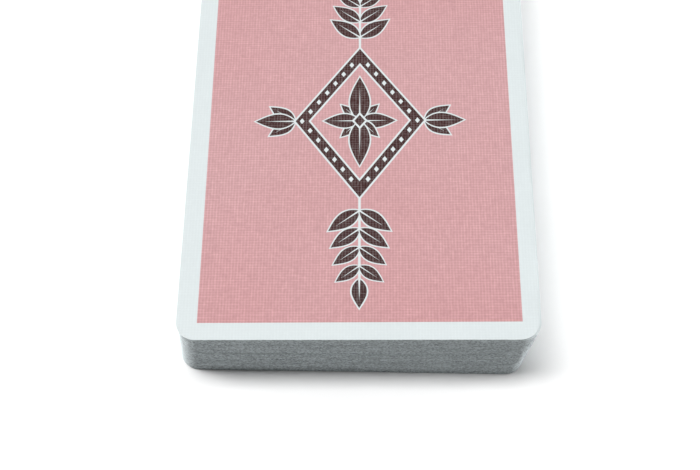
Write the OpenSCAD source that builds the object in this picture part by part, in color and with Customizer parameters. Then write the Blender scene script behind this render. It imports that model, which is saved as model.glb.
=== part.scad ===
// Playing card deck: fifty-two suit cards and two jokers, lying face down in one squared pile.
// Each card is a die-cut blank. The pile is built upwards from the table, card by card.

/* [Card] */
// Width of a card, along X
card_width = 63.5; // [50:0.5:80]
// Length of a card, along Y
card_length = 88.9; // [75:0.1:130]
// Radius of the die-cut corners
corner_radius = 3.5; // [2:0.1:10]
// Thickness of the card stock
stock_thickness = 0.28; // [0.22:0.01:0.5]
// Edge that the punch rolls over along the back of the card
rolled_edge = 0.05; // [0.02:0.01:0.1]

/* [Pile] */
// Air that the embossed finish holds between two cards
air_gap = 0.02; // [0.01:0.01:0.1]
// Turn of the top card against the bottom card, in degrees, shared out evenly up the pile
pile_turn = 1; // [0:0.1:4]
// Lean of the pile along X from the bottom card to the top card, shared out the same way
pile_lean = 1; // [0:0.1:3]
// How far the top card alone has slid back against that lean
top_slip = 0.3; // [0:0.1:3]
// Furthest that the squaring leaves a card out of line, along X and along Y
squaring_error = 0.03; // [0:0.01:0.3]
// Number that picks one of the ways in which the cards stand out of line
squaring_seed = 17; // [1:1:99]

/* [Hidden] */
RANKS = ["ace", "two", "three", "four", "five", "six", "seven", "eight", "nine", "ten",
         "jack", "queen", "king"];
// Counted from the table up: two suits from ace to king, two from king to ace, then the jokers
NODES = [
    for (suit = ["spades", "diamonds"])
        for (rank = RANKS) str(rank, "_of_", suit),
    for (suit = ["clubs", "hearts"])
        for (i = [len(RANKS) - 1 : -1 : 0]) str(RANKS[i], "_of_", suit),
    "first_joker",
    "second_joker"
];
top_place = len(NODES) - 1;
pitch = stock_thickness + air_gap;
// Distance from the middle of a card to the centres of its corner arcs
corner_x = card_width / 2 - corner_radius;
corner_y = card_length / 2 - corner_radius;
errors = rands(-squaring_error, squaring_error, 2 * len(NODES), squaring_seed);
$fn = 64;

// Half of the cut edge's profile: upright wall from the face, then the rolled edge up to the back
module edge_profile(reach) {
    polygon([
        [0, 0],
        [reach, 0],
        [reach, stock_thickness - rolled_edge],
        [reach - rolled_edge, stock_thickness],
        [0, stock_thickness]
    ]);
}

// Straight stretch between two corners, both of its long edges cut
module straight_stretch(width, length) {
    rotate([90, 0, 0])
        linear_extrude(length, center = true) {
            edge_profile(width / 2);
            mirror([1, 0]) edge_profile(width / 2);
        }
}

// Quarter turn of the edge profile about the centre of a corner's arc
module corner() {
    rotate_extrude(angle = 90) edge_profile(corner_radius);
}

// One card as it leaves the die: a cross of two straight stretches with its four corners filled in
module card_blank() {
    straight_stretch(card_width, 2 * corner_y);
    rotate(90) straight_stretch(card_length, 2 * corner_x);
    translate([corner_x, corner_y]) corner();
    translate([-corner_x, corner_y]) rotate(90) corner();
    translate([-corner_x, -corner_y]) rotate(180) corner();
    translate([corner_x, -corner_y]) rotate(270) corner();
}

// A card in its place in the pile, where place 0 lies on the table
module card(place) {
    share = place / top_place - 0.5;
    shift = pile_lean * share - (place == top_place ? top_slip : 0);
    color(place % 2 == 0 ? "lightpink" : "mistyrose")
        translate([shift + errors[2 * place], errors[2 * place + 1], place * pitch])
            rotate(pile_turn * share) card_blank();
}

for (place = [0 : top_place])
    card(place);
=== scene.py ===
import math

import bpy
import numpy as np
from mathutils import Matrix, Vector
from mathutils.geometry import delaunay_2d_cdt


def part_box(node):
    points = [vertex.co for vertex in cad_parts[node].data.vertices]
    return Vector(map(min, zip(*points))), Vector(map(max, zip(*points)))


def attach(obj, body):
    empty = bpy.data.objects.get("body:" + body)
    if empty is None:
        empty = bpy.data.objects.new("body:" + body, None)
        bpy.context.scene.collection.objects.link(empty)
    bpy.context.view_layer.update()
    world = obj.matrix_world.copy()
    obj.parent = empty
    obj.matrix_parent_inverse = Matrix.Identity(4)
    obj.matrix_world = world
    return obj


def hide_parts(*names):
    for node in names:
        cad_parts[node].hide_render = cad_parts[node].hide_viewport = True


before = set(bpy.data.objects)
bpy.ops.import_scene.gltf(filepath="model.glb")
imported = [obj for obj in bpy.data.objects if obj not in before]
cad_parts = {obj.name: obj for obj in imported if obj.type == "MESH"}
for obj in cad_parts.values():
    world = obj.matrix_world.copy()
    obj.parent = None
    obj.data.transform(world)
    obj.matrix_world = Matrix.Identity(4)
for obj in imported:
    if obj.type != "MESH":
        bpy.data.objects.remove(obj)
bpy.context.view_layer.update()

# The pile. Fifty-four loose cards are knocked square by hand and never quite get there. Where each card
# lies, and how big a card is, comes from the solids. Cards are drawn in millimetres about their middle.
MM = 0.001


def lie_of(card):
    """Middle of a card's underside, its turn, and its size, all taken off its solid."""
    points = np.array([vertex.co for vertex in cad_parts[card].data.vertices])
    points = np.unique(points.round(7), axis=0)
    low, high = points.min(axis=0), points.max(axis=0)
    middle = (low + high) / 2
    x, y, _ = (points - middle).T
    turn = 0.5 * math.atan2(-2 * (x * y).sum(), (y * y - x * x).sum())
    width = 2 * (x * math.cos(turn) + y * math.sin(turn)).max()
    length = 2 * (y * math.cos(turn) - x * math.sin(turn)).max()
    size = (width / MM, length / MM, (high[2] - low[2]) / MM)
    return Vector((middle[0], middle[1], low[2])), turn, size


pile = sorted(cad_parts, key=lambda card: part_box(card)[0][2])
top_middle, top_turn, (card_width, card_length, stock) = lie_of(pile[-1])

# The card blank. Two sheets of paper, pasted together with a dark paste, are punched out from the back.
# The cut leaves an upright wall, a sharp corner along the face and a rolled edge along the back.
CORNER_RADIUS = 3.5
CORNER_STEPS = 16
ROLLED_EDGE = 0.05
ROLL_STEPS = 3
FACE_BURR = 0.012
WALL_RINGS = 2


def cut_outline(inset):
    """The blank's outline this far inside the cut, anticlockwise from the top of the right-hand side."""
    corner_x = card_width / 2 - CORNER_RADIUS
    corner_y = card_length / 2 - CORNER_RADIUS
    points = []
    for quarter, (side_x, side_y) in enumerate(((1, 1), (-1, 1), (-1, -1), (1, -1))):
        for step in range(CORNER_STEPS + 1):
            angle = math.pi / 2 * (quarter + step / CORNER_STEPS)
            points.append((side_x * corner_x + (CORNER_RADIUS - inset) * math.cos(angle),
                           side_y * corner_y + (CORNER_RADIUS - inset) * math.sin(angle)))
    return points


# Rings up the cut edge from the face to the back, each as its inset and its height. The first steps between
# them are the cut wall, and the others are the rolled edge.
edge_rings = [(FACE_BURR, 0), (0, FACE_BURR)]
for roll_step in range(ROLL_STEPS + 1):
    roll = math.pi / 2 * roll_step / ROLL_STEPS
    edge_rings.append((ROLLED_EDGE * (1 - math.cos(roll)), stock - ROLLED_EDGE * (1 - math.sin(roll))))


# The printed finish, on both sides of a card. The ink lies under a satin varnish, and an embossing
# roller has pressed a fine linen grid into it: rows of dimples between raised, uneven threads.
class Wire:
    """One socket of a node tree. Sums written with it add Math nodes to the tree."""

    def __init__(self, tree, socket):
        self.tree = tree
        self.socket = socket

    @classmethod
    def node(cls, tree, kind, settings=None, inputs=None, output=0):
        """Adds a node of this kind, sets it up, feeds its sockets and returns one of its outputs."""
        made = tree.nodes.new(kind)
        for name, value in (settings or {}).items():
            setattr(made, name, value)
        for name, value in (inputs or {}).items():
            if isinstance(value, cls):
                tree.links.new(value.socket, made.inputs[name])
            else:
                made.inputs[name].default_value = value
        return cls(tree, made.outputs[output]) if made.outputs else None

    def maths(self, operation, other=0.0):
        return Wire.node(self.tree, "ShaderNodeMath", {"operation": operation}, {0: self, 1: other})

    def __add__(self, other):
        return self.maths("ADD", other)

    __radd__ = __add__

    def __sub__(self, other):
        return self.maths("SUBTRACT", other)

    def __rsub__(self, other):
        return Wire.node(self.tree, "ShaderNodeMath", {"operation": "SUBTRACT"}, {0: other, 1: self})

    def __mul__(self, other):
        return self.maths("MULTIPLY", other)

    __rmul__ = __mul__

    def __truediv__(self, other):
        return self.maths("DIVIDE", other)

    def __rtruediv__(self, other):
        return Wire.node(self.tree, "ShaderNodeMath", {"operation": "DIVIDE"}, {0: other, 1: self})

    def __lt__(self, other):
        return self.maths("LESS_THAN", other)

    def __gt__(self, other):
        return self.maths("GREATER_THAN", other)

    def __abs__(self):
        return self.maths("ABSOLUTE")

    def at_least(self, other):
        return self.maths("MAXIMUM", other)

    def at_most(self, other):
        return self.maths("MINIMUM", other)

    def cos(self):
        return self.maths("COSINE")

    def axes(self):
        """The X, Y and Z of a vector."""
        parts = Wire.node(self.tree, "ShaderNodeSeparateXYZ", inputs={0: self}).socket.node
        return [Wire(self.tree, socket) for socket in parts.outputs]


def new_finish(name, shader_values):
    """A material with one shader on it, and that shader's node."""
    finish = bpy.data.materials.new(name)
    finish.use_nodes = True
    shader = finish.node_tree.nodes["Principled BSDF"]
    for socket, value in shader_values.items():
        shader.inputs[socket].default_value = value
    return finish, finish.node_tree, shader


def noise(tree, vector, stretch, detail):
    """Even noise from 0 to 1, at this many waves along each axis to one unit of the vector."""
    stretched = Wire.node(tree, "ShaderNodeVectorMath", {"operation": "MULTIPLY"}, {0: vector, 1: stretch})
    return Wire.node(tree, "ShaderNodeTexNoise", inputs={"Vector": stretched, "Scale": 1.0, "Detail": detail})


def blend_colours(tree, kind, amount, first, second):
    """Two colours laid together by a mask."""
    return Wire.node(tree, "ShaderNodeMix", {"data_type": "RGBA", "blend_type": kind},
                     {0: amount, 6: first, 7: second}, output=2)


def ink_of(red, green, blue):
    """An ink's colour for the shaders from its red, green and blue on a screen, out of 255."""
    return tuple(((part / 255 + 0.055) / 1.055) ** 2.4 for part in (red, green, blue)) + (1.0,)


WHITE = ink_of(199, 206, 207)
WARP_PITCH = 0.55
WEFT_PITCH = 0.51
LINEN_DEPTH = 0.012
LINEN_STRENGTH = 0.5
THREAD_WANDER = 0.3
WANDER_WAVES = (0.5, 0.5, 0.5)
THREAD_SWELL = 2.6
WARP_SINK = 0.4
WEFT_SINK = 0.6
WARP_WAVES = (1.8, 0.5, 1.0)
WEFT_WAVES = (0.5, 1.8, 1.0)
THREAD_HEIGHT = 0.6
DIMPLE_DEPTH = 0.1
GRAIN_WAVES = (1.9, 2.0, 1.0)
MEAN_THREAD = 0.36
THREAD_SHADE = 0.38
BARE_PAPER_SHADE = 0.12
BARE_AND_GLINTING_THREAD = 0.12
END_FILM = 0.2
FILM_DRIFT = 0.3
FILM_WAVES = (0.03, 0.03, 0.03)
MOTTLE = 0.06
MOTTLE_WAVES = (0.12, 0.12, 0.12)
TURN = 2 * math.pi

printed, tree, shader = new_finish("varnished_linen_print", {
    "Roughness": 0.55, "IOR": 1.45, "Specular IOR Level": 0.12})
ink = Wire.node(tree, "ShaderNodeAttribute", {"attribute_name": "ink"})
place = Wire.node(tree, "ShaderNodeAttribute", {"attribute_name": "place"}, output="Vector")
across, along, _ = place.axes()
wander = THREAD_WANDER * (noise(tree, place, WANDER_WAVES, detail=1.0) - 0.5)
warp = 0.5 + 0.5 * ((across / WARP_PITCH + wander) * TURN).cos()
weft = 0.5 + 0.5 * ((along / WEFT_PITCH + wander) * TURN).cos()
warp = warp * (THREAD_SWELL * noise(tree, place, WARP_WAVES, detail=2.0) - WARP_SINK)
weft = weft * (THREAD_SWELL * noise(tree, place, WEFT_WAVES, detail=2.0) - WEFT_SINK)
grain = noise(tree, place, GRAIN_WAVES, detail=2.0) - 0.5
threads = THREAD_HEIGHT * (warp + weft) - DIMPLE_DEPTH + grain
_, green, _ = ink.axes()
cover = 1 - green / WHITE[1]
from_middle = along / (card_length / 2)
drift = noise(tree, place, FILM_WAVES, detail=2.0) - 0.5
film = END_FILM * from_middle * from_middle + FILM_DRIFT * drift
twice = Wire.node(tree, "ShaderNodeVectorMath", {"operation": "MULTIPLY"}, {0: ink, 1: ink})
twice = Wire.node(tree, "ShaderNodeVectorMath", {"operation": "DIVIDE"}, {0: twice, 1: WHITE[:3]})
laid = blend_colours(tree, "MIX", film.at_least(0), ink, twice)
# The grid's shade is painted into the colour: darker in the dimples and lighter on the raised threads, much
# more on ink than on bare paper.
shaded = BARE_PAPER_SHADE + (1 - BARE_PAPER_SHADE) * cover
shading = 1 + THREAD_SHADE * shaded * (threads - MEAN_THREAD)
mottle = 1 - MOTTLE / 2 + MOTTLE * noise(tree, place, MOTTLE_WAVES, detail=3.0)
shade = Wire.node(tree, "ShaderNodeVectorMath", {"operation": "SCALE"}, {0: laid, "Scale": shading * mottle})
# The raised threads are mixed towards white, more on dark ink: partly bare paper where the ink has worn off
# them, partly a painted highlight for the varnish's glint on the threads.
worn_and_glinting = blend_colours(tree, "MIX", (threads * cover * cover * BARE_AND_GLINTING_THREAD).at_least(0), shade, WHITE)
tree.links.new(worn_and_glinting.socket, shader.inputs["Base Color"])
emboss = Wire.node(tree, "ShaderNodeBump", inputs={
    "Strength": LINEN_STRENGTH, "Distance": LINEN_DEPTH * MM, "Height": threads})
tree.links.new(emboss.socket, shader.inputs["Normal"])

# The cut edge. The punch leaves bare paper with the thin dark line of the paste in its middle. Its grey, and
# the dark of its speckle, is partly the paper's own and partly painted shade for the hollows between the cut
# fibres and the gaps between the cards. The paper's fibres lie along the card, so the long sides are streaked
# and the ends are speckled.
PALE_PAPER = (0.5, 0.554, 0.57, 1.0)
DARK_PAPER_AND_HOLLOW_SHADE = (0.165, 0.184, 0.191, 1.0)
SPECKLE_WAVES = (2.8, 0.17, 3.1)
END_SPECKLE = 3.9
SIDE_SPECKLE = 1.5
CARD_TONES = 0.36
TONE_WAVES = (0.03, 0.03, 3.3)
FIBRE_WAVES = (4.0, 0.8, 9.0)
FIBRE_DEPTH = 0.02
FIBRE_STRENGTH = 0.5
PASTE = (0.06, 0.065, 0.07, 1.0)
PASTE_LINE = 0.035
PASTE_WANDER = 0.04
PASTE_COVER = 0.8

cut_edge, tree, shader = new_finish("cut_paper_edge", {
    "Roughness": 0.9, "IOR": 1.4, "Specular IOR Level": 0.2, "Sheen Weight": 0.05, "Sheen Roughness": 0.4})
place = Wire.node(tree, "ShaderNodeAttribute", {"attribute_name": "place"}, output="Vector")
pile_place = Wire.node(tree, "ShaderNodeTexCoord", output="Object")
pile_place = Wire.node(tree, "ShaderNodeVectorMath", {"operation": "SCALE"}, {0: pile_place, "Scale": 1 / MM})
across, _, height = place.axes()
fibre = noise(tree, pile_place, FIBRE_WAVES, detail=3.0)
long_side = ((abs(across) - card_width / 2 + CORNER_RADIUS) / CORNER_RADIUS).at_least(0)
strength = END_SPECKLE - (END_SPECKLE - SIDE_SPECKLE) * long_side
speckle = strength * (noise(tree, pile_place, SPECKLE_WAVES, detail=1.0) - 0.5) + 0.5
tone = 1 - CARD_TONES / 2 + CARD_TONES * noise(tree, pile_place, TONE_WAVES, detail=1.0)
# The dark end of the speckle is partly painted shade, for the hollows between the cut fibres.
paper = blend_colours(tree, "MIX", speckle.at_least(0).at_most(1), DARK_PAPER_AND_HOLLOW_SHADE, PALE_PAPER)
paper = Wire.node(tree, "ShaderNodeVectorMath", {"operation": "SCALE"}, {0: paper, "Scale": tone})
paste = 1 - (abs(height - stock / 2 + PASTE_WANDER * (fibre - 0.5)) / PASTE_LINE).at_most(1)
paper = blend_colours(tree, "MIX", PASTE_COVER * paste, paper, PASTE)
tree.links.new(paper.socket, shader.inputs["Base Color"])
torn = Wire.node(tree, "ShaderNodeBump", inputs={
    "Strength": FIBRE_STRENGTH, "Distance": FIBRE_DEPTH * MM, "Height": fibre})
tree.links.new(torn.socket, shader.inputs["Normal"])


# The printing. Each side of a card is printed flat from a set of outlines, the later ones over the earlier,
# and comes out as one sheet of faces, each of which holds the colour of the ink on it.
PINK = ink_of(187, 145, 147)
BROWN = ink_of(61, 31, 30)
SMALLEST_MARK = 1e-4
MERGE_REACH = 1e-5


def area_of(outline):
    """An outline's area, below zero where it runs clockwise."""
    return sum(x0 * y1 - x1 * y0 for (x0, y0), (x1, y1) in zip(outline, outline[1:] + outline[:1])) / 2


def printed_sheet(inset, outlines):
    """Points, faces and each face's ink on one side, and which points lie along the edge in order."""
    rim = cut_outline(inset)
    points, faces, inks = list(rim), [list(range(len(rim)))], [WHITE]
    for colour, outline in outlines:
        if area_of(outline) < SMALLEST_MARK:
            continue
        faces.append(list(range(len(points), len(points) + len(outline))))
        points.extend(outline)
        inks.append(colour)
    sheet = delaunay_2d_cdt([Vector(point) for point in points], [], faces, 1, MERGE_REACH)
    sheet_points, _, sheet_faces, from_points, _, from_faces = sheet
    at = {source: index for index, sources in enumerate(from_points) for source in sources}
    edge = [at[index] for index in range(len(rim))]
    return sheet_points, sheet_faces, [inks[max(sources)] for sources in from_faces], edge


def moved(outline, shift=(0, 0), turn=0.0, size=1.0):
    """An outline made this much bigger, turned and then shifted."""
    cos, sin = size * math.cos(turn), size * math.sin(turn)
    return [(cos * x - sin * y + shift[0], sin * x + cos * y + shift[1]) for x, y in outline]


def both_ways(outlines):
    """A print that reads the same with the card turned end for end."""
    return outlines + [(colour, moved(outline, turn=math.pi)) for colour, outline in outlines]


# The ornament on the back. Leaves and lozenges are repeated along stems and round points, each in dark
# brown with a white rim and a white rib, as a printer would set them from a few small blocks.
LEAF_STEPS = 14
LEAF_FULLNESS = 0.8


def leaf(length, width):
    """A pointed leaf that grows from the origin along Y, fullest a little below its middle."""
    right = []
    for step in range(LEAF_STEPS + 1):
        part = step / LEAF_STEPS
        right.append((width / 2 * math.sin(math.pi * part ** LEAF_FULLNESS), length * part))
    return right + [(-x, y) for x, y in reversed(right[1:-1])]


def lozenge(half_width, half_length):
    return [(half_width, 0), (0, half_length), (-half_width, 0), (0, -half_length)]


def bar(x0, y0, x1, y1):
    return [(x0, y0), (x1, y0), (x1, y1), (x0, y1)]


def new_layout(name, inputs):
    """An empty Geometry Nodes tree with these named inputs, and each of them as a wire."""
    layout = bpy.data.node_groups.new(name, "GeometryNodeTree")
    for label, kind in inputs.items():
        layout.interface.new_socket(label, in_out="INPUT", socket_type="NodeSocket" + kind)
    layout.interface.new_socket("Outlines", in_out="OUTPUT", socket_type="NodeSocketGeometry")
    entry = layout.nodes.new("NodeGroupInput")
    return layout, {label: Wire(layout, entry.outputs[label]) for label in inputs}


def end_layout(layout, points, block, turn, size, finish):
    """Sets a block on every point of a layout, as real geometry in its finish."""
    shape = Wire.node(layout, "GeometryNodeObjectInfo", inputs={"Object": block}, output="Geometry")
    angles = Wire.node(layout, "ShaderNodeCombineXYZ", inputs={"Z": turn})
    sizes = Wire.node(layout, "ShaderNodeCombineXYZ", inputs={"X": size, "Y": size, "Z": size})
    made = Wire.node(layout, "GeometryNodeInstanceOnPoints", inputs={
        "Points": points, "Instance": shape, "Rotation": angles, "Scale": sizes})
    made = Wire.node(layout, "GeometryNodeRealizeInstances", inputs={"Geometry": made})
    made = Wire.node(layout, "GeometryNodeSetMaterial", inputs={"Geometry": made, "Material": finish})
    Wire.node(layout, "NodeGroupOutput", inputs={"Outlines": made})


def flat_object(name, outlines, loose=()):
    """A flat object of these outlines, with these loose points."""
    points, faces = list(loose), []
    for outline in outlines:
        faces.append(list(range(len(points), len(points) + len(outline))))
        points.extend(outline)
    mesh = bpy.data.meshes.new(name)
    mesh.from_pydata([(x, y, 0) for x, y in points], [], faces)
    made = bpy.data.objects.new(name, mesh)
    bpy.context.collection.objects.link(made)
    return made


def outlines_of(made):
    """The outlines of a flat object as it comes out of its modifiers, after which it is taken away."""
    mesh = bpy.data.meshes.new_from_object(made.evaluated_get(bpy.context.evaluated_depsgraph_get()))
    outlines = [[tuple(mesh.vertices[i].co[:2]) for i in face.vertices] for face in mesh.polygons]
    bpy.data.meshes.remove(mesh)
    bpy.data.objects.remove(made)
    return outlines


def laid_out(layout, block, values, places=()):
    """The outlines that a layout makes of one block, which may have several outlines itself."""
    block_object = flat_object("block", block)
    bed = flat_object("bed", [], places)
    modifier = bed.modifiers.new("layout", "NODES")
    modifier.node_group = layout
    values = dict(values, Block=block_object, Finish=printed)
    for item in layout.interface.items_tree:
        if item.in_out == "INPUT" and item.name in values:
            modifier[item.identifier] = values[item.name]
    outlines = outlines_of(bed)
    bpy.data.objects.remove(block_object)
    return outlines


row_layout, wires = new_layout("ornament_row", {
    "Block": "Object", "Count": "Int", "Start": "Vector", "Step": "Vector", "First turn": "Float",
    "Turn step": "Float", "First size": "Float", "Last size": "Float", "Finish": "Material"})
number = Wire.node(row_layout, "GeometryNodeInputIndex")
row = Wire.node(row_layout, "GeometryNodeMeshLine", inputs={
    "Count": wires["Count"], "Start Location": wires["Start"], "Offset": wires["Step"]})
share = number / (wires["Count"] - 1).at_least(1)
end_layout(row_layout, row, wires["Block"], wires["First turn"] + number * wires["Turn step"],
           wires["First size"] + share * (wires["Last size"] - wires["First size"]), wires["Finish"])


def ornament_row(block, count, start=(0, 0), step=(0, 0), first_turn=0.0, turn_step=0.0, sizes=(1.0, 1.0)):
    return laid_out(row_layout, [block], {
        "Count": count, "Start": (*start, 0), "Step": (*step, 0), "First turn": first_turn,
        "Turn step": turn_step, "First size": sizes[0], "Last size": sizes[1]})


LEAF_RIM = 0.28
LEAF_TIP_RIM = 0.448
LEAF_RIB = 0.34
RIB_REACH = 0.78


def leaf_row(length, width, **row_values):
    """Leaves in a row or round a point: white rims first, then the leaves, then their ribs."""
    rim = moved(leaf(LEAF_RIM + length + LEAF_TIP_RIM, width + 2 * LEAF_RIM), shift=(0, -LEAF_RIM))
    rib = [(-LEAF_RIB / 2, 0), (LEAF_RIB / 2, 0), (0, RIB_REACH * length)]
    prints = []
    for colour, block in ((WHITE, rim), (BROWN, leaf(length, width)), (WHITE, rib)):
        prints += [(colour, outline) for outline in ornament_row(block, **row_values)]
    return prints


# The back. A plain pink panel inside a white border, with a lozenge in the middle from which leafy stems
# run to both ends. It reads the same either way up, and the press left it a touch out of true.
BACK_BORDER = 3.35
STEM_END = 33.2
STEM_WIDTH = 0.45
STEM_LEAVES = 4
STEM_LEAF = (7.0, 3.0)
STEM_LEAF_SIZES = (1.0, 0.74)
STEM_LEAF_START = 2.2
STEM_LEAF_STEP = 3.7
LEAF_TILT = math.radians(54)
TIP_LEAF = (5.6, 2.7)
TIP_LEAF_LAP = 0.4
SPRAY_LEAF = (7.4, 3.1)
SPRAY_SIDE_LEAF = (5.7, 2.5)
SPRAY_SPREAD = math.radians(34)
SPRAY_LAP = 0.3
MEDAL = (12.6, 17.0)
# The medal's lines from the outside in, each as its share of the medal's size and its ink
MEDAL_LINES = ((1.0, WHITE), (0.965, BROWN), (0.77, WHITE), (0.735, PINK))
STUD_LINE = 0.867
STUDS = 7
STUD = (0.46, 0.62)
SLANT_LEAF = (5.0, 2.0)
LEVEL_LEAF = (6.8, 3.0)
UPRIGHT_LEAF = (9.8, 3.8)
MEDAL_EYE_RIM = (1.5, 1.9)
MEDAL_EYE = (1.0, 1.3)
PRINT_SHIFT = (0.21, -0.07)
PRINT_TURN = math.radians(0.2)
RIGHT = -math.pi / 2


def spray(base, heading, middle_leaf, side_leaf):
    """Three leaves from one point, the middle one larger and over the others."""
    sides = leaf_row(*side_leaf, count=2, start=base,
                     first_turn=heading - SPRAY_SPREAD, turn_step=2 * SPRAY_SPREAD)
    return sides + leaf_row(*middle_leaf, count=1, start=base, first_turn=heading)


panel_x = card_width / 2 - BACK_BORDER
panel_y = card_length / 2 - BACK_BORDER
back_print = [(PINK, bar(-panel_x, -panel_y, panel_x, panel_y))]
half_back = [(WHITE, bar(-STEM_WIDTH / 2, 0, STEM_WIDTH / 2, STEM_END))]
for side in (-1, 1):
    half_back += leaf_row(*STEM_LEAF, count=STEM_LEAVES, start=(0, MEDAL[1] + STEM_LEAF_START),
                          step=(0, STEM_LEAF_STEP), first_turn=side * LEAF_TILT, sizes=STEM_LEAF_SIZES)
half_back += leaf_row(*TIP_LEAF, count=1, start=(0, STEM_END - TIP_LEAF_LAP))
half_back += spray((MEDAL[0] - SPRAY_LAP, 0), RIGHT, SPRAY_LEAF, SPRAY_SIDE_LEAF)
for scale, colour in MEDAL_LINES:
    half_back.append((colour, lozenge(scale * MEDAL[0], scale * MEDAL[1])))
medal_print = []
for side in (-1, 1):
    start = Vector((side * STUD_LINE * MEDAL[0], 0))
    step = (Vector((0, STUD_LINE * MEDAL[1])) - start) / STUDS
    studs = ornament_row(lozenge(*STUD), count=STUDS, start=start, step=step)
    medal_print += [(WHITE, stud) for stud in studs]
medal_print += leaf_row(*SLANT_LEAF, count=2, first_turn=RIGHT / 2, turn_step=-RIGHT)
medal_print += leaf_row(*LEVEL_LEAF, count=1, first_turn=RIGHT)
medal_print += leaf_row(*UPRIGHT_LEAF, count=1)
back_print += both_ways(half_back) + both_ways(medal_print)
back_print += [(WHITE, lozenge(*MEDAL_EYE_RIM)), (BROWN, lozenge(*MEDAL_EYE))]
back_print = [(colour, moved(outline, PRINT_SHIFT, PRINT_TURN)) for colour, outline in back_print]
back_sheet = printed_sheet(edge_rings[-1][0], back_print)

# The suit signs on the faces, in black and in red. They are the traditional ones, drawn from arcs and
# curves about their middle, one unit high, and printed flat like everything else.
RED = ink_of(172, 28, 38)
BLACK = ink_of(26, 24, 26)
CURVE_STEPS = 8


def curve(start, first, second, end):
    """Points along a cubic curve, without its end."""
    points = []
    for step in range(CURVE_STEPS):
        part = step / CURVE_STEPS
        rest = 1 - part
        shares = (rest ** 3, 3 * rest ** 2 * part, 3 * rest * part ** 2, part ** 3)
        corners = (start, first, second, end)
        points.append(tuple(sum(share * corner[axis] for share, corner in zip(shares, corners))
                            for axis in (0, 1)))
    return points


def mirrored(right):
    """A closed outline from its right half, which runs up from its foot to its top, both on the middle."""
    return right + [(-x, y) for x, y in reversed(right[1:-1])]


def disc(x, y, radius):
    steps = 4 * CURVE_STEPS
    return [(x + radius * math.cos(TURN * step / steps), y + radius * math.sin(TURN * step / steps))
            for step in range(steps)]


heart = mirrored(curve((0, -0.5), (0.1, -0.27), (0.48, -0.1), (0.46, 0.2))
                 + curve((0.46, 0.2), (0.44, 0.56), (0.06, 0.58), (0, 0.24)) + [(0, 0.24)])
bowl = mirrored(curve((0, -0.16), (0.06, -0.42), (0.45, -0.4), (0.45, -0.06))
                + curve((0.45, -0.06), (0.45, 0.14), (0.1, 0.28), (0, 0.5)) + [(0, 0.5)])
foot = mirrored([(0, -0.5)] + curve((0.2, -0.5), (0.06, -0.42), (0.04, -0.28), (0.035, -0.1)) + [(0, -0.1)])
diamond = mirrored(curve((0, -0.5), (0.09, -0.3), (0.22, -0.13), (0.36, 0))
                   + curve((0.36, 0), (0.22, 0.13), (0.09, 0.3), (0, 0.5)) + [(0, 0.5)])
SUITS = {
    "spades": (BLACK, [bowl, foot]),
    "hearts": (RED, [heart]),
    "diamonds": (RED, [diamond]),
    "clubs": (BLACK, [disc(0, 0.26, 0.225), disc(0.235, -0.08, 0.225), disc(-0.235, -0.08, 0.225),
                      disc(0, 0.04, 0.16), foot]),
}

# The number cards' faces. Pips stand in two or three columns, the lower half of them upside down, and
# the rank with a small sign under it is in two opposite corners, so that a hand can be held in a fan.
PIP_COLUMN = 12.6
PIP_ROW = 28.0
PIP_SIZE = 11.5
ACE_SIZE = 24.0
MIDDLE_ROW = 0.01
INDEX_PLACE = (-27.0, 36.6)
INDEX_SIZE = 8.6
INDEX_SIGN_DROP = 7.6
INDEX_SIGN_SIZE = 5.2
SIGN_SPACING = 0.8
SIGN_WEIGHT = 0.022
SIGN_CURVE_STEPS = 3
ONE_SIGN_WIDTH = 0.9
TWO_SIGN_WIDTH = 0.72
RANK_SIGNS = {"ace": "A", "two": "2", "three": "3", "four": "4", "five": "5", "six": "6", "seven": "7",
              "eight": "8", "nine": "9", "ten": "10", "jack": "J", "queen": "Q", "king": "K"}
# Each pip as its column and its row, in shares of the layout's half width and half height
PIP_PLACES = {
    "two": [(0, 1), (0, -1)],
    "three": [(0, 1), (0, 0), (0, -1)],
    "four": [(-1, 1), (1, 1), (-1, -1), (1, -1)],
}
PIP_PLACES["five"] = PIP_PLACES["four"] + [(0, 0)]
PIP_PLACES["six"] = PIP_PLACES["four"] + [(-1, 0), (1, 0)]
PIP_PLACES["seven"] = PIP_PLACES["six"] + [(0, 0.5)]
PIP_PLACES["eight"] = PIP_PLACES["seven"] + [(0, -0.5)]
PIP_PLACES["nine"] = PIP_PLACES["five"] + [(-1, 1 / 3), (1, 1 / 3), (-1, -1 / 3), (1, -1 / 3)]
PIP_PLACES["ten"] = PIP_PLACES["nine"][:4] + PIP_PLACES["nine"][5:] + [(0, 2 / 3), (0, -2 / 3)]

pip_layout, wires = new_layout("pip_layout", {
    "Places": "Geometry", "Block": "Object", "Size": "Float", "Finish": "Material"})
_, row_height, _ = Wire.node(pip_layout, "GeometryNodeInputPosition").axes()
pip_points = Wire.node(pip_layout, "GeometryNodeMeshToPoints", inputs={"Mesh": wires["Places"]})
end_layout(pip_layout, pip_points, wires["Block"], math.pi * (row_height < -MIDDLE_ROW), wires["Size"],
           wires["Finish"])


def lettering(text):
    """The outlines of a rank's sign, narrowed to the width of the corner."""
    sign = bpy.data.curves.new("rank_sign", "FONT")
    sign.body = text
    sign.resolution_u = SIGN_CURVE_STEPS
    sign.align_x = "CENTER"
    sign.align_y = "CENTER"
    sign.space_character = SIGN_SPACING
    sign.offset = SIGN_WEIGHT
    sign_object = bpy.data.objects.new("rank_sign", sign)
    bpy.context.collection.objects.link(sign_object)
    outlines = outlines_of(sign_object)
    bpy.data.curves.remove(sign)
    narrow = TWO_SIGN_WIDTH if len(text) > 1 else ONE_SIGN_WIDTH
    return [[(narrow * x, y) for x, y in outline] for outline in outlines]


rank_letters = {rank: lettering(sign) for rank, sign in RANK_SIGNS.items()}


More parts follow.
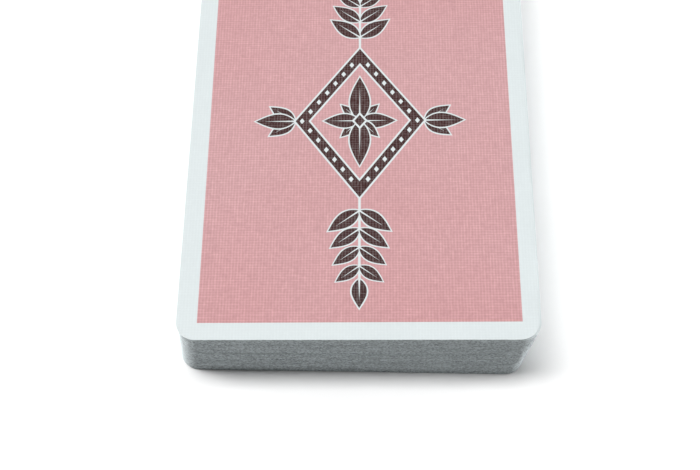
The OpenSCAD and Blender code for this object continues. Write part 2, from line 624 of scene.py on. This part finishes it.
def corner_signs(colour, sign, suit_outlines):
    """The rank and the small suit sign in both corners."""
    drop = (INDEX_PLACE[0], INDEX_PLACE[1] - INDEX_SIGN_DROP)
    signs = [(colour, moved(outline, INDEX_PLACE, size=INDEX_SIZE)) for outline in sign]
    signs += [(colour, moved(outline, drop, size=INDEX_SIGN_SIZE)) for outline in suit_outlines]
    return both_ways(signs)


def number_face(rank, suit):
    colour, sign = SUITS[suit]
    if rank == "ace":
        pips = [moved(outline, size=ACE_SIZE) for outline in sign]
    else:
        places = [(column * PIP_COLUMN, row * PIP_ROW) for column, row in PIP_PLACES[rank]]
        pips = laid_out(pip_layout, sign, {"Size": PIP_SIZE}, places)
    return corner_signs(colour, rank_letters[rank], sign) + [(colour, outline) for outline in pips]


# The court cards' faces. Inside a ruled frame, a crown, a coronet or a plumed cap stands over the suit sign
# between two wings of leaves. It is printed twice, one way up and the other, with a studded band between.
GOLD = ink_of(206, 158, 62)
BLUE = ink_of(46, 74, 122)
COURT_FRAME = (19.6, 32.6)
RULE = 0.4
BAND_HEIGHT = 2.6
BAND_RULE = 0.35
BAND_STUDS = 13
BAND_STUD = (1.1, 0.8)
BAND_STUD_STEP = 2.8
COURT_SIGN_HEIGHT = 11.5
COURT_SIGN_SIZE = 12.5
WING_LEAVES = 3
WING_LEAF = (13.0, 4.6)
WING_LEAF_SIZES = (1.0, 0.7)
WING_START = (9.0, 3.2)
WING_STEP = (2.2, 0.8)
WING_TILT = math.radians(4)
WING_SPREAD = math.radians(9)
HEADWEAR_FOOT = 19.5
HEADWEAR_BAND = (8.6, 2.6)
HEADWEAR_STUDS = 6
HEADWEAR_STUD = (0.62, 0.85)
HEADWEAR_STUD_STEP = 2.76
CROWN_FLARE = 1.2
CROWN_SIDE = 8.6
CROWN_MIDDLE = 9.6
CROWN_DIP = 5.0
CROWN_BALL = 0.85
SIDE_BALL_HEIGHT = 8.9
MIDDLE_BALL_HEIGHT = 10.0
CORONET_LEAVES = 5
CORONET_LEAF = (7.2, 3.6)
CORONET_LEAF_STEP = 3.4
CORONET_LEAF_LAP = 0.6
CORONET_SPREAD = math.radians(12)
CAP_RISE = 9.4
PLUME = (8.6, 3.0)
PLUME_PLACE = (4.4, 4.6)
PLUME_TILT = math.radians(-42)


def level_row(block, count, step, height=0.0, spread=0.0):
    """Copies of a block in a level row about the middle, turned this much further out from one to the next."""
    ends = (count - 1) / 2
    return ornament_row(block, count, start=(-ends * step, height), step=(step, 0),
                        first_turn=ends * spread, turn_step=-spread)


def headwear(rank):
    """The gold outlines of one rank's headwear, with its foot on the origin."""
    half, band = HEADWEAR_BAND
    if rank == "king":
        tip = half + CROWN_FLARE
        shape = [[(-half, band), (half, band), (tip, CROWN_SIDE), (half / 2, CROWN_DIP), (0, CROWN_MIDDLE),
                  (-half / 2, CROWN_DIP), (-tip, CROWN_SIDE)]]
        shape += [disc(-tip, SIDE_BALL_HEIGHT, CROWN_BALL), disc(0, MIDDLE_BALL_HEIGHT, CROWN_BALL),
                  disc(tip, SIDE_BALL_HEIGHT, CROWN_BALL)]
    elif rank == "queen":
        shape = level_row(leaf(*CORONET_LEAF), CORONET_LEAVES, CORONET_LEAF_STEP, band - CORONET_LEAF_LAP,
                          CORONET_SPREAD)
    else:
        shape = [curve((half, band), (half, CAP_RISE), (-half, CAP_RISE), (-half, band)) + [(-half, band)]]
        shape += [moved(leaf(*PLUME), PLUME_PLACE, PLUME_TILT)]
    return shape + [bar(-half, 0, half, band)]


def court_face(rank, suit):
    colour, sign = SUITS[suit]
    other = BLUE if colour == BLACK else RED
    frame_x, frame_y = COURT_FRAME
    face = [(BLUE, bar(-frame_x, -frame_y, frame_x, frame_y)),
            (WHITE, bar(RULE - frame_x, RULE - frame_y, frame_x - RULE, frame_y - RULE))]
    half = []
    for side in (-1, 1):
        wing = leaf_row(*WING_LEAF, count=WING_LEAVES, sizes=WING_LEAF_SIZES,
                        start=(side * WING_START[0], WING_START[1]), step=(side * WING_STEP[0], WING_STEP[1]),
                        first_turn=-side * WING_TILT, turn_step=-side * WING_SPREAD)
        half += [(other if ink_used == BROWN else ink_used, outline) for ink_used, outline in wing]
    gold = [moved(outline, (0, HEADWEAR_FOOT)) for outline in headwear(rank)]
    half += [(GOLD, outline) for outline in gold]
    studs = level_row(lozenge(*HEADWEAR_STUD), HEADWEAR_STUDS, HEADWEAR_STUD_STEP,
                      HEADWEAR_FOOT + HEADWEAR_BAND[1] / 2)
    half += [(other, stud) for stud in studs]
    half += [(colour, moved(outline, (0, COURT_SIGN_HEIGHT), size=COURT_SIGN_SIZE)) for outline in sign]
    face += both_ways(half)
    face += [(other, bar(RULE - frame_x, -BAND_HEIGHT / 2, frame_x - RULE, BAND_HEIGHT / 2))]
    inner = BAND_HEIGHT / 2 - BAND_RULE
    face += [(GOLD, bar(RULE - frame_x, -inner, frame_x - RULE, inner))]
    studs = level_row(lozenge(*BAND_STUD), BAND_STUDS, BAND_STUD_STEP)
    face += [(other, stud) for stud in studs]
    return corner_signs(colour, rank_letters[rank], sign) + face


# The jokers' faces. One large gold star, ruled in the card's own colour, has a round field in its middle with
# a small star on it. A star that is smaller still takes the place of the rank in two opposite corners.
STAR_EDGE = {"radius": 19.0, "waist": 9.4, "points": 10}
STAR_RULE = {"radius": 17.4, "waist": 8.6, "points": 10}
STAR_FILL = {"radius": 16.4, "waist": 8.0, "points": 10}
FIELD_RADIUS = 6.4
FIELD_INNER_RADIUS = 5.8
FIELD_STAR = {"radius": 5.4, "waist": 2.3, "points": 5}
CORNER_STAR = {"radius": 0.46, "waist": 0.19, "points": 5}


def star(radius, waist, points):
    """A star about the origin with one point up."""
    outline = []
    for step in range(2 * points):
        reach = radius if step % 2 == 0 else waist
        angle = math.pi / 2 + math.pi * step / points
        outline.append((reach * math.cos(angle), reach * math.sin(angle)))
    return outline


def joker_face(colour):
    face = corner_signs(colour, [star(**CORNER_STAR)], [])
    face += [(colour, star(**STAR_EDGE)), (WHITE, star(**STAR_RULE)), (GOLD, star(**STAR_FILL))]
    face += [(colour, disc(0, 0, FIELD_RADIUS)), (WHITE, disc(0, 0, FIELD_INNER_RADIUS))]
    return face + [(colour, star(**FIELD_STAR))]


def face_of(card):
    """A card's face as it is read, with X to the right."""
    if "joker" in card:
        return joker_face(RED if card == "first_joker" else BLACK)
    rank, suit = card.split("_of_")
    if rank in ("jack", "queen", "king"):
        return court_face(rank, suit)
    return number_face(rank, suit)


# The cards. Each is one closed sheet: the printed face below, the cut edge and the rolled edge round it, and
# the printed back on top. It takes the place of its solid and moves as that does.
SHEET_GAP = 1.0
BAKE_WIDTH = 2 * card_width + 3 * SHEET_GAP
EDGE_ROW = 8.0


def on_bake(side_points, left):
    """Where points on one side of a card lie on its baked picture, with the card this far from the left."""
    return [((x + card_width / 2 + left) / BAKE_WIDTH, (y + card_length / 2 + SHEET_GAP) / BAKE_WIDTH)
            for x, y in side_points]


def build_card(card, face_print):
    """A card's mesh in the frame, at the place and turn of its solid."""
    middle, turn, _ = lie_of(card)
    face_points, face_faces, face_inks, face_edge = printed_sheet(edge_rings[0][0], face_print)
    back_points, back_faces, back_inks, back_edge = back_sheet
    points = [(x, y, 0) for x, y in face_points]
    faces = [list(reversed(corners)) for corners in face_faces]
    inks = list(face_inks)
    bake = [on_bake([face_points[i] for i in corners], SHEET_GAP) for corners in faces]
    rings = [face_edge]
    for inset, height in edge_rings[1:-1]:
        outline = cut_outline(inset)
        rings.append(list(range(len(points), len(points) + len(outline))))
        points += [(x, y, height) for x, y in outline]
    first_back = len(points)
    points += [(x, y, stock) for x, y in back_points]
    rings.append([first_back + index for index in back_edge])
    materials = [0] * len(faces)
    smooth = [False] * len(faces)
    count = len(face_edge)
    per_side = CORNER_STEPS + 1
    outline = cut_outline(0)
    for level, (lower, upper) in enumerate(zip(rings, rings[1:])):
        low_v, high_v = (edge_rings[level + side][1] / stock for side in (0, 1))
        run = 0.0
        for index in range(count):
            after = (index + 1) % count
            faces.append([lower[index], lower[after], upper[after], upper[index]])
            inks.append(WHITE)
            materials.append(0 if level >= WALL_RINGS else 1)
            smooth.append(True)
            if index % per_side == 0:
                run = 0.0
            reach = run + math.dist(outline[index], outline[after])
            row_foot = card_length + 3 * SHEET_GAP + (index // per_side) * (EDGE_ROW + SHEET_GAP)
            u0, u1 = ((SHEET_GAP + part) / BAKE_WIDTH for part in (run, reach))
            v0, v1 = ((row_foot + EDGE_ROW * part) / BAKE_WIDTH for part in (low_v, high_v))
            bake.append([(u0, v0), (u1, v0), (u1, v1), (u0, v1)])
            run = reach
    for corners, colour in zip(back_faces, back_inks):
        faces.append([first_back + index for index in corners])
        inks.append(colour)
        materials.append(0)
        smooth.append(False)
        bake.append(on_bake([back_points[i] for i in corners], card_width + 2 * SHEET_GAP))
    mesh = bpy.data.meshes.new(card + "_card")
    mesh.from_pydata(points, [], faces)
    mesh.materials.append(printed)
    mesh.materials.append(cut_edge)
    mesh.polygons.foreach_set("material_index", materials)
    mesh.polygons.foreach_set("use_smooth", smooth)
    mesh.attributes.new("ink", "FLOAT_COLOR", "FACE").data.foreach_set("color", np.ravel(inks))
    mesh.attributes.new("place", "FLOAT_VECTOR", "POINT").data.foreach_set("vector", np.ravel(points))
    unwrap = [corner for face in bake for corner in face]
    mesh.uv_layers.new(name="OFBake").data.foreach_set("uv", np.ravel(unwrap))
    mesh.transform(Matrix.Translation(middle) @ Matrix.Rotation(turn, 4, "Z") @ Matrix.Scale(MM, 4))
    made = bpy.data.objects.new(card + "_card", mesh)
    bpy.context.collection.objects.link(made)
    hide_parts(card)
    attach(made, card)


for card in pile:
    # The face looks down, so what is read from left to right runs from right to left on it
    face_print = [(colour, [(-x, y) for x, y in reversed(outline)]) for colour, outline in face_of(card)]
    build_card(card, face_print)

# The table. A wide sheet of matt white paper, with no edge in view, is laid out under the pile. It lies a
# touch below the lowest card, so that no two faces share a plane.
TABLE_SIZE = 6.0
TABLE_DROP = 0.02
TABLE_DARKEST = (0.86, 0.86, 0.86, 1.0)
TABLE_LIGHTEST = (0.9, 0.9, 0.9, 1.0)
TABLE_WAVES = (40.0, 40.0, 40.0)

table_finish, tree, shader = new_finish("white_table_paper", {"Roughness": 0.95})
table_place = Wire.node(tree, "ShaderNodeTexCoord", output="Object")
cloud = noise(tree, table_place, TABLE_WAVES, detail=2.0)
paper = blend_colours(tree, "MIX", cloud, TABLE_DARKEST, TABLE_LIGHTEST)
tree.links.new(paper.socket, shader.inputs["Base Color"])
half = TABLE_SIZE / 2
table = flat_object("table", [bar(-half, -half, half, half)])
table.data.transform(Matrix.Translation((0, 0, -TABLE_DROP * MM)))
table.data.materials.append(table_finish)

# The light. A wide softbox hangs high up, a little behind the pile and to its left, so the shadows are short.
# Low white screens stand left and right, a softer light from the left reaches round the front corner, and
# the side behind the camera is dark.
ROOM_LIGHT = 0.3
SIDE_LIGHT = 0.5
SCREEN_LIGHT = 203.0
SCREEN_LOWNESS = 14.0
SCREEN_NARROWNESS = 12.0
RIGHT_SCREEN_GAIN = 0.23
SCREEN_AT_SIDE = 0.2
SCREEN_RISE_BEHIND = 3.0
LEFT_LIGHT = 4.0
LEFT_NARROWNESS = 6.0
LEFT_AT_SIDE = 0.8
LEFT_RISE_BEHIND = 4.0
CAMERA_SIDE_LOSS = 0.26
CAMERA_SIDE_RISE = 2.5
SOFTBOX_PLACE = (-1.8, 0.9, 9.0)
SOFTBOX_SIZE = (6.2, 2.2)
SOFTBOX_POWER = 822.0
BACKDROP = 1.1

room = bpy.data.worlds.new("white_room")
room.use_nodes = True
tree = room.node_tree
background = tree.nodes["Background"]
sideways, backward, upward = Wire.node(tree, "ShaderNodeTexCoord", output="Generated").axes()
low = (1 - upward).at_most(1).maths("POWER", SCREEN_LOWNESS)
narrow = abs(sideways).maths("POWER", SCREEN_NARROWNESS)
screens = SIDE_LIGHT * sideways * sideways + SCREEN_LIGHT * low * narrow
reach = (SCREEN_AT_SIDE + SCREEN_RISE_BEHIND * backward).at_least(0).at_most(1)
screens = screens * (1 + RIGHT_SCREEN_GAIN * sideways) * reach
leftward = (-1 * sideways).at_least(0).maths("POWER", LEFT_NARROWNESS)
reach = (LEFT_AT_SIDE + LEFT_RISE_BEHIND * backward).at_least(0).at_most(1)
screens = screens + LEFT_LIGHT * leftward * reach
gloom = CAMERA_SIDE_LOSS * (-CAMERA_SIDE_RISE * backward).at_least(0).at_most(1)
seen = Wire.node(tree, "ShaderNodeLightPath", output="Is Camera Ray")
light = ROOM_LIGHT + screens - gloom
tree.links.new((light + seen * (BACKDROP - light)).socket, background.inputs["Strength"])
background.inputs["Color"].default_value = (1.0, 1.0, 1.0, 1.0)
bpy.context.scene.world = room
softbox = bpy.data.lights.new("softbox", "AREA")
softbox.shape = "RECTANGLE"
softbox.size, softbox.size_y = SOFTBOX_SIZE
softbox.energy = SOFTBOX_POWER
softbox_object = bpy.data.objects.new("softbox", softbox)
softbox_object.location = SOFTBOX_PLACE
bpy.context.collection.objects.link(softbox_object)
bpy.context.scene.view_settings.view_transform = "Standard"

# The camera, as it stood over the top card when the photograph was taken: close to the pile's front end,
# looking steeply down, with the far end of the cards out of the picture.
CAMERA_PLACE = (4.86, -119.72, 193.51)
CAMERA_YAW = math.radians(-3.752)
CAMERA_PITCH = math.radians(63.682)
CAMERA_ROLL = math.radians(-3.571)
FOCAL_PIXELS = 1196.1
PICTURE_WIDTH = 700
SENSOR_WIDTH = 36.0
NEAREST_SEEN = 10.0

ahead = Vector((math.sin(CAMERA_YAW) * math.cos(CAMERA_PITCH),
                math.cos(CAMERA_YAW) * math.cos(CAMERA_PITCH), -math.sin(CAMERA_PITCH)))
level = Vector((math.cos(CAMERA_YAW), -math.sin(CAMERA_YAW), 0))
rise = level.cross(ahead)
right = math.cos(CAMERA_ROLL) * level + math.sin(CAMERA_ROLL) * rise
upright = math.cos(CAMERA_ROLL) * rise - math.sin(CAMERA_ROLL) * level
stance = Matrix((right, upright, -ahead)).transposed().to_4x4()
stance.translation = Vector(CAMERA_PLACE) * MM
lens = bpy.data.cameras.new("camera")
lens.sensor_width = SENSOR_WIDTH
lens.lens = FOCAL_PIXELS / PICTURE_WIDTH * SENSOR_WIDTH
lens.clip_start = NEAREST_SEEN * MM
camera = bpy.data.objects.new("camera", lens)
bpy.context.collection.objects.link(camera)
top_of_pile = top_middle + Vector((0, 0, stock * MM))
camera.matrix_world = Matrix.Translation(top_of_pile) @ Matrix.Rotation(top_turn, 4, "Z") @ stance
bpy.context.scene.camera = camera
